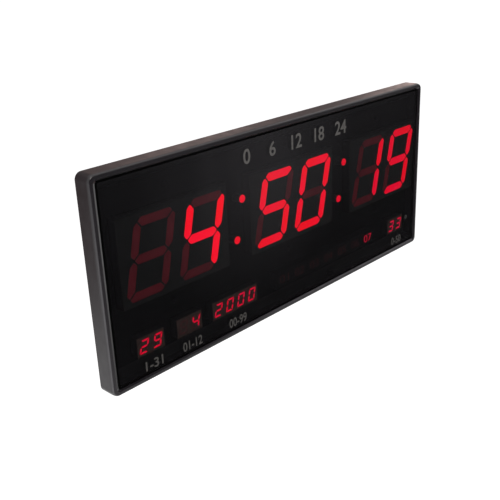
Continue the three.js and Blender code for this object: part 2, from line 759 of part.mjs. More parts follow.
function makeButton(x) {
  const radius = BUTTON_DIAMETER / 2;
  const flangeRadius = BUTTON_FLANGE_DIAMETER / 2;
  const tip = coverBottom - BUTTON_PROJECTION;
  const profile = [
    [0, tip],
    [radius - BUTTON_EDGE, tip],
    [radius, tip + BUTTON_EDGE],
    [radius, capFlangeLow],
    [flangeRadius, capFlangeLow],
    [flangeRadius, capFlangeHigh],
    [0, capFlangeHigh],
  ];
  return turned(profile, ROUND_FACETS).rotate([90, 0, 0]).translate([x, controlY, 0]);
}

buttonXs.forEach((x, i) => {
  addPart(`setting_switch_${i + 1}`, makeSwitch(x), chipPlastic);
  addPart(`setting_button_${i + 1}`, makeButton(x), buttonPlastic);
});

// Rear cover

function keyhole(x) {
  const front = coverInsideY - OVERCUT;
  const top = KEYHOLE_HEIGHT + KEYHOLE_RISE;
  const slot = block(KEYHOLE_SLOT, KEYHOLE_RISE, front, OVERCUT, x, (KEYHOLE_HEIGHT + top) / 2);
  return unite([
    bar(KEYHOLE_ENTRY, front, OVERCUT, x, KEYHOLE_HEIGHT),
    slot,
    bar(KEYHOLE_SLOT, front, OVERCUT, x, top),
  ]);
}

// Shallow recesses in the rear face: a dish round each keyhole, and a bare panel below the middle
function rearRecesses() {
  const dishZ = KEYHOLE_HEIGHT + KEYHOLE_RISE / 2;
  const dishes = keyholeXs.map((x) => bar(DISH_DIAMETER, -DISH_DEPTH, OVERCUT, x, dishZ, DISH_FACETS));
  const panelShape = roundedRectangle(PANEL_WIDTH, PANEL_HEIGHT, PANEL_CORNER_RADIUS, 0, -PANEL_DROP);
  return [...dishes, prism(panelShape, -PANEL_DEPTH, OVERCUT)];
}

function ventSlots(side) {
  const middle = side * (coverWidth / 2 - VENT_EDGE_DISTANCE);
  return centredRow(VENT_COUNT, VENT_PITCH)
    .map((step) => roundedRectangle(VENT_WIDTH, VENT_LENGTH, VENT_WIDTH / 2, middle + step, 0))
    .map((shape) => prism(shape, coverInsideY - OVERCUT, OVERCUT, VENT_FACETS));
}

function makeCover() {
  const flangeShape = roundedRectangle(
    innerWidth - 2 * COVER_CLEARANCE,
    innerHeight - 2 * COVER_CLEARANCE,
    BEZEL_CORNER_RADIUS - BEZEL_WALL,
  );
  const flange = prism(flangeShape, flangeFrontY, bezelBackY);
  const housing = softBlock(
    coverWidth,
    coverHeight,
    COVER_CORNER_RADIUS,
    COVER_EDGE_RADIUS,
    flangeFrontY,
    0,
    false,
  );
  const cavityShape = roundedRectangle(
    coverWidth - 2 * COVER_WALL,
    coverHeight - 2 * COVER_WALL,
    COVER_CORNER_RADIUS - COVER_WALL,
  );
  const cavity = prism(cavityShape, flangeFrontY - OVERCUT, coverInsideY);
  const postBackY = coverInsideY + COVER_WALL / 2;
  const posts = boardScrewPlaces.map(([x, z]) =>
    bar(POST_DIAMETER, partSeatY, postBackY, x, z, SCREW_FACETS));
  const tapDiameter = SCREW_DIAMETER + 2 * SCREW_HOLE_CLEARANCE;
  const tapBack = boardFrontY + SCREW_LENGTH + SCREW_END_CLEARANCE;
  const taps = boardScrewPlaces.map(([x, z]) =>
    bar(tapDiameter, partSeatY - OVERCUT, tapBack, x, z, SCREW_FACETS));
  const passDiameter = SCREW_DIAMETER + 2 * SCREW_PASS_CLEARANCE;
  const passes = coverScrewPlaces.map(([x, z]) =>
    bar(passDiameter, flangeFrontY - OVERCUT, bezelBackY + OVERCUT, x, z, SCREW_FACETS));
  const buttonHole = BUTTON_DIAMETER + 2 * BUTTON_CLEARANCE;
  const buttonHoles = buttonXs.map((x) =>
    pillar(buttonHole, coverBottom - OVERCUT, coverBottomInside + OVERCUT, x, controlY));
  const inletHole = pillar(
    INLET_COLLAR_DIAMETER + 2 * INLET_COLLAR_CLEARANCE,
    coverBottom - OVERCUT,
    coverBottomInside + OVERCUT,
    inletX,
    controlY,
  );
  const vents = [-1, 1].flatMap((side) => ventSlots(side));
  const rearCuts = [...keyholeXs.map((x) => keyhole(x)), ...rearRecesses(), ...vents];
  const shell = flange.add(housing).subtract(cavity).add(unite(posts));
  return cut(shell, [...taps, ...passes, ...buttonHoles, inletHole, ...rearCuts]);
}

addPart('rear_cover', makeCover(), coverPlastic);

// Screws, drawn with the head's underside at depth 0 and the head towards -y

function makeScrew() {
  const radius = SCREW_DIAMETER / 2;
  const head = SCREW_HEAD_DIAMETER / 2;
  const pan = turned([
    [0, -SCREW_HEAD_HEIGHT],
    [SCREW_HEAD_TOP_DIAMETER / 2, -SCREW_HEAD_HEIGHT],
    [head, -SCREW_HEAD_EDGE],
    [head, 0],
    [radius, 0],
    [radius, SCREW_LENGTH - radius],
    [0, SCREW_LENGTH],
  ], SCREW_FACETS);
  const slotBack = -SCREW_HEAD_HEIGHT + SCREW_SLOT_DEPTH;
  const slotFront = -SCREW_HEAD_HEIGHT - OVERCUT;
  return cut(pan, [
    block(SCREW_SLOT_LENGTH, SCREW_SLOT_WIDTH, slotFront, slotBack, 0, 0),
    block(SCREW_SLOT_WIDTH, SCREW_SLOT_LENGTH, slotFront, slotBack, 0, 0),
  ]);
}

coverScrewPlaces.forEach(([x, z], i) => {
  const screw = makeScrew().rotate([0, 0, 180]).translate([x, bezelBackY + SEAT, z]);
  addPart(`cover_screw_${i + 1}`, screw, zincSteel);
});

boardScrewPlaces.forEach(([x, z], i) => {
  addPart(`board_screw_${i + 1}`, makeScrew().translate([x, boardFrontY - SEAT, z]), zincSteel);
});

export default clock;
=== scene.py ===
"""The looks of a digital wall clock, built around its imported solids.

Metres. +Z is up, the front faces -Y, and the wall is the plane y = 0. MM turns millimetres into metres.
"""

import math

import bmesh
import bpy
from mathutils import Matrix, Quaternion, Vector


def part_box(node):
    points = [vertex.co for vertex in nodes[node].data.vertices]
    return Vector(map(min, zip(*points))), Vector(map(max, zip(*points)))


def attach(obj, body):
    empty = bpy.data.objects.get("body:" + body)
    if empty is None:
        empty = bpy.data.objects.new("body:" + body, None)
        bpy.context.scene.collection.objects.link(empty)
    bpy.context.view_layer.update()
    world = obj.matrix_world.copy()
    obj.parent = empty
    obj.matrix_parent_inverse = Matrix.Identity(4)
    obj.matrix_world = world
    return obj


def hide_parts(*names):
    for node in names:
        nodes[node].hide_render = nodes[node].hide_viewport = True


MM = 0.001

# Camera, at the photograph's viewing angle
CAMERA_PLACE = (-0.4310, -0.3980, 0.1980)
CAMERA_TARGET = (-0.0238, -0.0046, -0.0258)
CAMERA_ROLL = math.radians(-2.44)
CAMERA_LENS = 56.08
SENSOR_WIDTH = 36
CAMERA_CLIP = (0.01, 50)

# Edges that turn by more than these angles stay sharp, and large faces keep their normals by this weight
SHARP_TURN = math.radians(35)
BEZEL_SHARP_TURN = math.radians(15)
LIT_SHARP_TURN = math.radians(60)
SOLID_SHARP_TURN = math.radians(38)
FLAT_FACE_WEIGHT = 100

# Points nearer than these distances become one
GUIDE_WELD = 0.001 * MM
SOLID_WELD = 0.002 * MM

# Bezel section, from its outline inwards
BEZEL_CORNER = 5 * MM
EDGE_WIDTH = 1.4 * MM
EDGE_DEPTH = 3.2 * MM
BEZEL_WALL = 2.2 * MM
BACK_EDGE = 0.3 * MM
LIP_SIDE_WIDTH = 1.6 * MM
LIP_END_WIDTH = 0.9 * MM
LIP_DROP = 0.7 * MM
LIP_EDGE = 0.08 * MM
LENS_CLEARANCE = 0.7 * MM
OPENING_CORNER = 2.5 * MM
LEDGE_WIDTH = 1.4 * MM
LEDGE_THICKNESS = 1.2 * MM
TAPE_SEAT = 0.05 * MM
BOSS_DIAMETER = 6.4 * MM
BOSS_BORE = 2.9 * MM
BOSS_GAP = 0.5 * MM
CORNER_STEPS = 10
EDGE_STEPS = 8
ROUND_STEPS = 40

# Lit faces, which stand on the display's front: how far their sides and ends pass the windows, and corners
LARGE_LIT = {"side": 0.15 * MM, "end": 0.12 * MM, "corner": 1.3 * MM}
SMALL_LIT = {"side": -0.1 * MM, "end": 0.1 * MM, "corner": 0.3 * MM}
LIT_THICKNESS = 0.14 * MM
LIT_SEAT = 0.005 * MM
LIT_SHOULDER = 0.1 * MM
CORNER_BEND_STEPS = 4
CORNER_BEND_LIMIT = 0.45
LONG_SIDE_SHARE = 0.5
FRONT_TOLERANCE = 0.01 * MM
SEGMENT_LEVELS = 5
FACE_DEPTH = 0.3 * MM

# Segments of each figure: top, upper right, lower right, bottom, lower left, upper left, middle
FIGURES = {
    "0": "1111110",
    "1": "0110000",
    "2": "1101101",
    "3": "1111001",
    "4": "0110011",
    "5": "1011011",
    "9": "1111011",
    " ": "0000000",
}
READINGS = {
    "hours": " 4",
    "minutes": "50",
    "seconds": "19",
    "day": "29",
    "month": " 4",
    "year": "2000",
    "temperature": "33",
}
LARGE_DISPLAYS = ("hours", "minutes", "seconds")

# Colon lamps
COLON_COLLAR = 0.6 * MM
COLON_COLLAR_HEIGHT = 1 * MM
COLON_EDGE = 0.5 * MM

# Figures: the steps of each curve, and how far strokes are widened, as a share of the letter size
FIGURE_STEPS = 16
STROKE_SPREAD = 0.016

# Printing on the lens: an hour scale, a range under each small display with its width, a ring and a border
PRINT_THICKNESS = 0.02 * MM
SCALE_FIGURES = ("0", "6", "12", "18", "24")
SCALE_LEFT = -46.4 * MM
SCALE_STEP = 27.3 * MM
SCALE_MIDDLE = 57.7 * MM
SCALE_HEIGHT = 11 * MM
RANGE_MIDDLE = -64.3 * MM
RANGE_HEIGHT = 7.2 * MM
RANGES = (
    ("day", "1-31", 15.5 * MM),
    ("month", "01-12", 18.5 * MM),
    ("year", "00-99", 18.5 * MM),
    ("temperature", "0-50", 15.5 * MM),
)
DEGREE_X = 163.6 * MM
DEGREE_Z = -46.2 * MM
DEGREE_RADIUS = 1.7 * MM
DEGREE_STROKE = 0.8 * MM
BORDER_WIDTH = 1 * MM

# Weekday windows
WEEKDAY_COUNT = 7
WEEKDAY_LIT = 7
WEEKDAY_PITCH = 18.8 * MM
WEEKDAY_HEIGHT = 6.4 * MM
WEEKDAY_WIDTH = 10.5 * MM
WEEKDAY_SPREAD = -0.026

# Figures beside the setting buttons
BUTTON_COUNT = 4
BUTTON_FIGURE_HEIGHT = 2.8 * MM
BUTTON_FIGURE_Y = -4.3 * MM
BUTTON_FIGURE_RISE = 0.12 * MM

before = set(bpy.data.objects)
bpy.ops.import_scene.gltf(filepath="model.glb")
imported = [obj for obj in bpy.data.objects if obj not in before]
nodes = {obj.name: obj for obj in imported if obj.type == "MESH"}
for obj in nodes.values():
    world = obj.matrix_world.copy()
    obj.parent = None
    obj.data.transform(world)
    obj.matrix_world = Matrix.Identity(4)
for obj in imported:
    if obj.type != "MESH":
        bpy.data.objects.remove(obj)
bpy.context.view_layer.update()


# Meshes

def add_piece(name, mesh, *materials, body="case"):
    """A new piece of the object, on a body."""
    for material in materials:
        mesh.materials.append(material)
    piece = bpy.data.objects.new(name, mesh)
    bpy.context.scene.collection.objects.link(piece)
    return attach(piece, body)


def to_mesh(name, built, sharp=SHARP_TURN):
    """A shaded mesh from a bmesh: smooth, apart from edges that turn by more than the sharp angle."""
    bmesh.ops.recalc_face_normals(built, faces=built.faces)
    for face in built.faces:
        face.smooth = True
    for edge in built.edges:
        edge.smooth = edge.calc_face_angle(0) < sharp
    mesh = bpy.data.meshes.new(name)
    built.to_mesh(mesh)
    built.free()
    return mesh


def even_normals(piece):
    """Keeps large flat faces flat beside their rounded edges."""
    modifier = piece.modifiers.new("even_normals", "WEIGHTED_NORMAL")
    modifier.keep_sharp = True
    modifier.weight = FLAT_FACE_WEIGHT


def join_rings(built, rings, closed):
    """Faces between rings of equally many points. A closed set joins its last ring to its first."""
    placed = [[built.verts.new(point) for point in ring] for ring in rings]
    pairs = list(zip(placed, placed[1:]))
    if closed:
        pairs.append((placed[-1], placed[0]))
    for ring, following in pairs:
        for i in range(len(ring)):
            j = (i + 1) % len(ring)
            built.faces.new((ring[i], ring[j], following[j], following[i]))
    return placed


def rounded_outline(width, height, radius):
    """Points (x, z) round a rectangle with rounded corners, always equally many."""
    points = []
    for side, end, turn in ((1, -1, -90), (1, 1, 0), (-1, 1, 90), (-1, -1, 180)):
        for step in range(CORNER_STEPS + 1):
            angle = math.radians(turn + 90 * step / CORNER_STEPS)
            x = side * (width / 2 - radius) + radius * math.cos(angle)
            z = end * (height / 2 - radius) + radius * math.sin(angle)
            points.append((x, z))
    return points


def circle(radius, x, z):
    """Points (x, z) round a circle."""
    turns = [math.tau * step / ROUND_STEPS for step in range(ROUND_STEPS)]
    return [(x + radius * math.cos(turn), z + radius * math.sin(turn)) for turn in turns]


def quarter(width, depth):
    """Points of a rounded edge, from (0, depth) to (width, 0), which turn by equal angles."""
    points = []
    for step in range(EDGE_STEPS + 1):
        angle = math.pi / 2 * step / EDGE_STEPS
        turn = math.atan2(depth * math.sin(angle), width * math.cos(angle))
        points.append((width * (1 - math.cos(turn)), depth * (1 - math.sin(turn))))
    return points


def bezel_mesh():
    """The front frame, from a section that is carried round it. Slot 1 is the lip of its opening."""
    low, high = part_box("front_bezel")
    lens_low, lens_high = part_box("front_lens")
    frame_size = high - low
    opening_size = lens_high - lens_low + Vector((1, 1, 1)) * 2 * LENS_CLEARANCE
    front, back = low.y, high.y
    ledge_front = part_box("lens_tape")[1].y + TAPE_SEAT
    ledge_back = ledge_front + LEDGE_THICKNESS

    # Each point of the section is a distance inwards, from the frame's outline or the opening's, and a depth
    outside = [(inset, back - rise) for inset, rise in reversed(quarter(BACK_EDGE, BACK_EDGE))]
    outside += [(inset, front + drop) for inset, drop in quarter(EDGE_WIDTH, EDGE_DEPTH)]
    opening = [(-inset, front + LIP_DROP + drop) for inset, drop in reversed(quarter(LIP_EDGE, LIP_EDGE))]
    opening += [(0, ledge_front), (LEDGE_WIDTH, ledge_front), (LEDGE_WIDTH, ledge_back)]
    inside = [(BEZEL_WALL, ledge_back), (BEZEL_WALL, back)]
    lip_size = opening_size + Vector((2 * LIP_SIDE_WIDTH, 0, 2 * LIP_END_WIDTH))

    rings = []
    for size, corner, points in (
        (frame_size, BEZEL_CORNER, outside),
        (lip_size, OPENING_CORNER + LIP_END_WIDTH, [(0, front)]),
        (opening_size, OPENING_CORNER, opening),
        (frame_size, BEZEL_CORNER, inside),
    ):
        for inset, depth in points:
            outline = rounded_outline(size.x - 2 * inset, size.z - 2 * inset, corner - inset)
            rings.append([(x, depth, z) for x, z in outline])
    built = bmesh.new()
    join_rings(built, rings, closed=True)
    for face in built.faces:
        middle = face.calc_center_median()
        within_sides = abs(middle.x) < frame_size.x / 2 - EDGE_WIDTH
        within_ends = abs(middle.z) < frame_size.z / 2 - EDGE_WIDTH
        on_lip = within_sides and within_ends and front < middle.y < front + LIP_DROP
        face.material_index = 1 if on_lip else 0
    boss_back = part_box("rear_cover")[0].y - BOSS_GAP
    for name in [n for n in nodes if n.startswith("cover_screw_")]:
        screw_low, screw_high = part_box(name)
        middle = (screw_low + screw_high) / 2
        add_tube(built, middle.x, middle.z, ledge_front, boss_back)
    return to_mesh("bezel", built, BEZEL_SHARP_TURN)


def add_tube(built, x, z, front, back):
    """A screw boss: a round tube along y."""
    outer, inner = circle(BOSS_DIAMETER / 2, x, z), circle(BOSS_BORE / 2, x, z)
    rings = [(outer, front), (outer, back), (inner, back), (inner, front)]
    join_rings(built, [[(u, depth, v) for u, v in ring] for ring, depth in rings], closed=True)


def front_outlines(name):
    """The outlines (x, z) of the faces that a light guide shows at its front."""
    built = bmesh.new()
    built.from_mesh(nodes[name].data)
    bmesh.ops.remove_doubles(built, verts=built.verts, dist=GUIDE_WELD)
    front = min(v.co.y for v in built.verts)
    faces = [f for f in built.faces if all(v.co.y < front + FRONT_TOLERANCE for v in f.verts)]
    merged = bmesh.ops.dissolve_faces(built, faces=faces)["region"]
    outlines = [[Vector((v.co.x, v.co.z)) for v in face.verts] for face in merged]
    built.free()
    return outlines


def middle_of(outline):
    """The mean of an outline's points."""
    return sum(outline, Vector((0, 0))) / len(outline)


def segments_by_digit(name, count):
    """Each digit's seven outlines, in the order of FIGURES, told apart by height and then by x."""
    outlines = front_outlines(name)
    heights = [middle_of(o).y for o in outlines]
    lowest, highest = min(heights), max(heights)
    levels = [[] for _ in range(SEGMENT_LEVELS)]
    for outline, height in zip(outlines, heights):
        share = (height - lowest) / (highest - lowest)
        levels[round((SEGMENT_LEVELS - 1) * share)].append(outline)
    bottom, lower, middle, upper, top = (sorted(level, key=lambda o: middle_of(o).x) for level in levels)
    return [
        (top[i], upper[2 * i + 1], lower[2 * i + 1], bottom[i], lower[2 * i], upper[2 * i], middle[i])
        for i in range(count)
    ]


def grown(outline, along, across):
    """A convex outline with its long sides moved outwards by along and its other sides by across."""
    count = len(outline)
    area = sum(outline[i - 1].cross(outline[i]) for i in range(count))
    turn = 1 if area > 0 else -1
    sides = [outline[(i + 1) % count] - outline[i] for i in range(count)]
    longest = max(side.length for side in sides)
    lines = []
    for start, side in zip(outline, sides):
        outwards = Vector((side.y, -side.x)).normalized() * turn
        distance = along if side.length > LONG_SIDE_SHARE * longest else across
        lines.append((start + outwards * distance, side))
    moved = []
    for i in range(count):
        (first, before), (second, after) = lines[i - 1], lines[i]
        moved.append(first + before * ((second - first).cross(after) / before.cross(after)))
    return moved


def bent_corners(outline, radius):
    """An outline whose corners are bent round, with equally many points at each."""
    points = []
    for i, corner in enumerate(outline):
        to_before, to_after = outline[i - 1] - corner, outline[(i + 1) % len(outline)] - corner
        start = corner + to_before.normalized() * min(radius, to_before.length * CORNER_BEND_LIMIT)
        end = corner + to_after.normalized() * min(radius, to_after.length * CORNER_BEND_LIMIT)
        for step in range(CORNER_BEND_STEPS + 1):
            t = step / CORNER_BEND_STEPS
            points.append(start * (1 - t) ** 2 + corner * 2 * t * (1 - t) + end * t ** 2)
    return points


def add_cap(built, outline, sizes, back):
    """A thin raised face with soft shoulders."""
    side, end, corner = sizes["side"], sizes["end"], sizes["corner"]
    base = bent_corners(grown(outline, side, end), corner)
    crown = bent_corners(grown(outline, side - LIT_SHOULDER, end - LIT_SHOULDER), corner)
    front = back - LIT_THICKNESS
    rings = [(base, back), (base, back - LIT_THICKNESS / 2), (crown, front)]
    placed = join_rings(built, [[(p.x, depth, p.y) for p in ring] for ring, depth in rings], closed=False)
    built.faces.new(placed[0])
    built.faces.new(placed[-1])


def lit_mesh(display, reading):
    """The lit segments of a display."""
    built = bmesh.new()
    sizes = LARGE_LIT if display in LARGE_DISPLAYS else SMALL_LIT
    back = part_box(f"{display}_housing")[0].y - LIT_SEAT
    digits = segments_by_digit(f"{display}_light_guide", len(reading))
    for figure, outlines in zip(reading, digits):
        for on, outline in zip(FIGURES[figure], outlines):
            if on == "1":
                add_cap(built, outline, sizes, back)
    return to_mesh(f"{display}_lit", built, LIT_SHARP_TURN)


def lamp_mesh(name):
    """A colon lamp: a flat lit face in a dark sleeve with a collar at its foot. Slot 0 is lit."""
    low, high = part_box(name)
    middle = (low + high) / 2
    radius = (high.x - low.x) / 2 - COLON_COLLAR
    foot = high.y - COLON_COLLAR_HEIGHT
    section = [(radius - inset, low.y + drop) for inset, drop in reversed(quarter(COLON_EDGE, COLON_EDGE))]
    section += [(radius, foot), (radius + COLON_COLLAR, foot), (radius + COLON_COLLAR, high.y)]
    built = bmesh.new()
    rings = [[(x, depth, z) for x, z in circle(size, middle.x, middle.z)] for size, depth in section]
    placed = join_rings(built, rings, closed=False)
    built.faces.new(placed[0])
    built.faces.new(placed[-1])
    for face in built.faces:
        face.material_index = 0 if face.calc_center_median().y < low.y + COLON_EDGE else 1
    return to_mesh(name, built)


def words_mesh(name, words, height, width, thickness, spread=STROKE_SPREAD):
    """Raised figures about the origin, in x and y and facing +z, fitted to a height and a width."""
    curve = bpy.data.curves.new(name, "FONT")
    curve.body = words
    curve.offset = spread
    curve.resolution_u = FIGURE_STEPS
    curve.extrude = thickness / 2
    holder = bpy.data.objects.new(name, curve)
    bpy.context.scene.collection.objects.link(holder)
    bpy.context.view_layer.update()
    mesh = bpy.data.meshes.new_from_object(holder.evaluated_get(bpy.context.evaluated_depsgraph_get()))
    bpy.data.objects.remove(holder)
    corners = [v.co for v in mesh.vertices]
    low = Vector([min(c[i] for c in corners) for i in range(3)])
    high = Vector([max(c[i] for c in corners) for i in range(3)])
    up = height / (high.y - low.y)
    across = width / (high.x - low.x) if width else up
    mesh.transform(Matrix.Translation(-(low + high) / 2))
    mesh.transform(Matrix.Diagonal((across, up, 1, 1)))
    return mesh


def print_mesh(name, outer, inner, back):
    """A printed ring that faces -Y, between two outlines (x, z), on the plane y = back."""
    front = back - PRINT_THICKNESS
    built = bmesh.new()
    rings = [(outer, front), (outer, back), (inner, back), (inner, front)]
    join_rings(built, [[(u, depth, v) for u, v in ring] for ring, depth in rings], closed=True)
    return to_mesh(name, built)


def facing_front(x, y, z):
    """Turns figures to face -Y, at a place."""
    return Matrix.Translation((x, y, z)) @ Matrix.Rotation(math.pi / 2, 4, "X")


def facing_down(x, y, z):
    """Turns figures to face -Z, with their tops to the front, at a place."""
    return Matrix.Translation((x, y, z)) @ Matrix.Rotation(math.pi, 4, "X")


# Materials

# Noise lies mostly between these two values
NOISE_LOW = 0.3
NOISE_HIGH = 0.7

# Of each finish: sizes of the clouds in its colour, of the patches in its gloss and of its grain, and how far
# the colour, as a share, and the roughness drift
MOULDED = {"cloud": 18 * MM, "drift": 0.12, "patch": 6 * MM, "gloss": 0.06, "bump": 0.35}
MOULDED_GRAIN = 0.35 * MM
MOULDED_DEPTH = 0.02 * MM
FACE = {"cloud": 7 * MM, "drift": 0.1, "patch": 3 * MM, "gloss": 0.05, "bump": 0.2}
FACE_GRAIN = 0.4 * MM
FACE_GRAIN_DEPTH = 0.01 * MM
LENS = {"colour": (0.004, 0.004, 0.005), "alpha": 0.38, "bend": 1.49}
LENS_SMEAR = 35 * MM
LENS_ROUGHNESS = (0.05, 0.1)
LENS_SMEAR_STRETCH = (1, 1, 0.35)
LIT = {"colour": (0.25, 0.002, 0.006), "roughness": 0.5, "shine": 0.1, "cloud": 22 * MM}
OFF = {"roughness": 0.6, "shine": 0.15, "cloud": 9 * MM, "drift": 0.15}
INK = {"roughness": 0.65, "shine": 0.1, "cover": 1.2 * MM, "thin": 0.8, "thick": 1.15}
BOARD = {"shine": 0.03, "patch": 3 * MM, "roughness": (0.45, 0.6)}
TRACKS = {"scale": 60, "gap": 0.03}
TRACK_COLOURS = ((0.003, 0.0034, 0.0032), (0.0036, 0.004, 0.0037), (0.005, 0.0056, 0.005))
METAL = {"cloud": 2 * MM, "dull": 0.8, "bright": 1.1}
SCRATCH = {"size": 0.3 * MM, "smooth": 0.08, "rough": 0.12, "bump": 0.15}
SCRATCH_STRETCH = (1, 1, 0.1)
SCRATCH_DEPTH = 0.01 * MM
DARK_SIDE = (0.005, 0.005, 0.005)
BEZEL_COLOUR = (0.0118, 0.0097, 0.0125)


class Shader:
    """A node material and short ways to add nodes to it."""

    def __init__(self, name):
        self.material = bpy.data.materials.new(name)
        self.material.use_nodes = True
        self.tree = self.material.node_tree
        self.surface = self.tree.nodes["Principled BSDF"]
        self.place = self.add("ShaderNodeTexCoord").outputs["Object"]

    def add(self, kind, **settings):
        node = self.tree.nodes.new(kind)
        for key, value in settings.items():
            setattr(node, key, value)
        return node

    def link(self, source, target):
        self.tree.links.new(source, target)

    def set(self, **values):
        """Plain values on the surface's own sockets, named with _ for a space."""
        for key, value in values.items():
            self.surface.inputs[key.replace("_", " ")].default_value = value

    def noise(self, size, detail=2.0, stretch=None):
        """Noise whose features are about this many metres across."""
        node = self.add("ShaderNodeTexNoise")
        node.inputs["Scale"].default_value = 1 / size
        node.inputs["Detail"].default_value = detail
        place = self.place
        if stretch:
            mapping = self.add("ShaderNodeMapping")
            mapping.inputs["Scale"].default_value = stretch
            self.link(place, mapping.inputs["Vector"])
            place = mapping.outputs["Vector"]
        self.link(place, node.inputs["Vector"])
        return node.outputs["Fac"]

    def between(self, share, low, high, first=NOISE_LOW, last=NOISE_HIGH):
        """A number that goes from low to high as share goes from first to last."""
        node = self.add("ShaderNodeMapRange")
        for key, value in (("From Min", first), ("From Max", last), ("To Min", low), ("To Max", high)):
            node.inputs[key].default_value = value
        self.link(share, node.inputs["Value"])
        return node.outputs["Result"]

    def colours(self, share, first, second):
        """A colour that goes from first to second as noise rises."""
        node = self.add("ShaderNodeValToRGB")
        ramp = node.color_ramp.elements
        ramp[0].position, ramp[0].color = NOISE_LOW, (*first, 1)
        ramp[1].position, ramp[1].color = NOISE_HIGH, (*second, 1)
        self.link(share, node.inputs["Fac"])
        return node.outputs["Color"]

    def rough(self, share, least, most):
        """Roughness that goes from least to most as noise rises."""
        self.link(self.between(share, least, most), self.surface.inputs["Roughness"])

    def bump(self, height, strength, distance):
        """Fine relief in the surface's normal."""
        node = self.add("ShaderNodeBump")
        node.inputs["Strength"].default_value = strength
        node.inputs["Distance"].default_value = distance
        self.link(height, node.inputs["Height"])
        self.link(node.outputs["Normal"], self.surface.inputs["Normal"])

    def fronted(self, face, behind):
        """A colour for the display's front, which turns into another just behind it."""
        split = self.add("ShaderNodeSeparateXYZ")
        self.link(self.place, split.inputs["Vector"])
        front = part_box("hours_housing")[0].y + FACE_DEPTH
        mix = self.add("ShaderNodeMix", data_type="RGBA")
        self.link(self.between(split.outputs["Y"], 0, 1, front, front + FACE_DEPTH), mix.inputs["Factor"])
        self.link(face, mix.inputs["A"])
        mix.inputs["B"].default_value = (*behind, 1)
        self.link(mix.outputs["Result"], self.surface.inputs["Base Color"])


def scaled(colour, share):
    """A colour made lighter or darker."""
    return tuple(c * share for c in colour)


def moulded(name, colour, roughness, shine, grain=MOULDED_GRAIN, depth=MOULDED_DEPTH):
    """Moulded plastic: fine grain, a slight drift in colour and uneven gloss."""
    shader = Shader(name)
    shader.set(Specular_IOR_Level=shine)
    cloud = shader.noise(MOULDED["cloud"], detail=3)
    drift, gloss = MOULDED["drift"], MOULDED["gloss"]
    shader.link(
        shader.colours(cloud, scaled(colour, 1 - drift), scaled(colour, 1 + drift)),
        shader.surface.inputs["Base Color"],
    )
    shader.rough(shader.noise(MOULDED["patch"], detail=4), roughness - gloss, roughness + gloss)
    shader.bump(shader.noise(grain, detail=2), MOULDED["bump"], depth)
    return shader.material


def smoked_lens():
    """Smoked acrylic that lets part of the light through, with faint smears in its gloss."""
    shader = Shader("smoked_acrylic")
    shader.set(Base_Color=(*LENS["colour"], 1), Alpha=LENS["alpha"], IOR=LENS["bend"], Specular_IOR_Level=1)
    shader.rough(shader.noise(LENS_SMEAR, detail=3, stretch=LENS_SMEAR_STRETCH), *LENS_ROUGHNESS)
    return shader.material


def display_face(name, colour, roughness, shine):
    """A moulded display housing: a painted face, and darker sides."""
    shader = Shader(name)
    shader.set(Specular_IOR_Level=shine)
    cloud = shader.noise(FACE["cloud"], detail=3)
    drift, gloss = FACE["drift"], FACE["gloss"]
    shader.fronted(shader.colours(cloud, scaled(colour, 1 - drift), scaled(colour, 1 + drift)), DARK_SIDE)
    shader.rough(shader.noise(FACE["patch"], detail=4), roughness - gloss, roughness + gloss)
    shader.bump(shader.noise(FACE_GRAIN), FACE["bump"], FACE_GRAIN_DEPTH)
    return shader.material


def lit_resin(name, strength, blue):
    """Diffusing resin with its lamp on: red, with a share of blue that drifts between two values."""
    shader = Shader(name)
    shader.set(Base_Color=(*LIT["colour"], 1), Roughness=LIT["roughness"], Specular_IOR_Level=LIT["shine"])
    shader.set(Emission_Strength=strength)
    cloud = shader.noise(LIT["cloud"], detail=2)
    least, most = blue
    colour = shader.colours(cloud, (1, 0, least), (1, 0, most))
    shader.link(colour, shader.surface.inputs["Emission Color"])
    return shader.material


def off_resin(name, colour):
    """Diffusing resin with its lamp off, dark below its face."""
    shader = Shader(name)
    shader.set(Roughness=OFF["roughness"], Specular_IOR_Level=OFF["shine"])
    cloud = shader.noise(OFF["cloud"], detail=3)
    drift = OFF["drift"]
    shader.fronted(shader.colours(cloud, scaled(colour, 1 - drift), scaled(colour, 1 + drift)), DARK_SIDE)
    return shader.material


def ink(name, colour, shine=INK["shine"]):
    """Screen-printed ink, a little uneven in its cover."""
    shader = Shader(name)
    shader.set(Roughness=INK["roughness"], Specular_IOR_Level=shine)
    cover = shader.noise(INK["cover"], detail=4)
    shader.link(
        shader.colours(cover, scaled(colour, INK["thin"]), scaled(colour, INK["thick"])),
        shader.surface.inputs["Base Color"],
    )
    return shader.material


def circuit_board():
    """Black solder mask over faint copper tracks."""
    shader = Shader("circuit_board")
    shader.set(Specular_IOR_Level=BOARD["shine"])
    tracks = shader.add("ShaderNodeTexBrick")
    tracks.inputs["Scale"].default_value = TRACKS["scale"]
    tracks.inputs["Mortar Size"].default_value = TRACKS["gap"]
    for key, colour in zip(("Color1", "Color2", "Mortar"), TRACK_COLOURS):
        tracks.inputs[key].default_value = (*colour, 1)
    turned = shader.add("ShaderNodeMapping")
    turned.inputs["Rotation"].default_value = (math.pi / 2, 0, 0)
    shader.link(shader.place, turned.inputs["Vector"])
    shader.link(turned.outputs["Vector"], tracks.inputs["Vector"])
    shader.link(tracks.outputs["Color"], shader.surface.inputs["Base Color"])
    shader.rough(shader.noise(BOARD["patch"]), *BOARD["roughness"])
    return shader.material


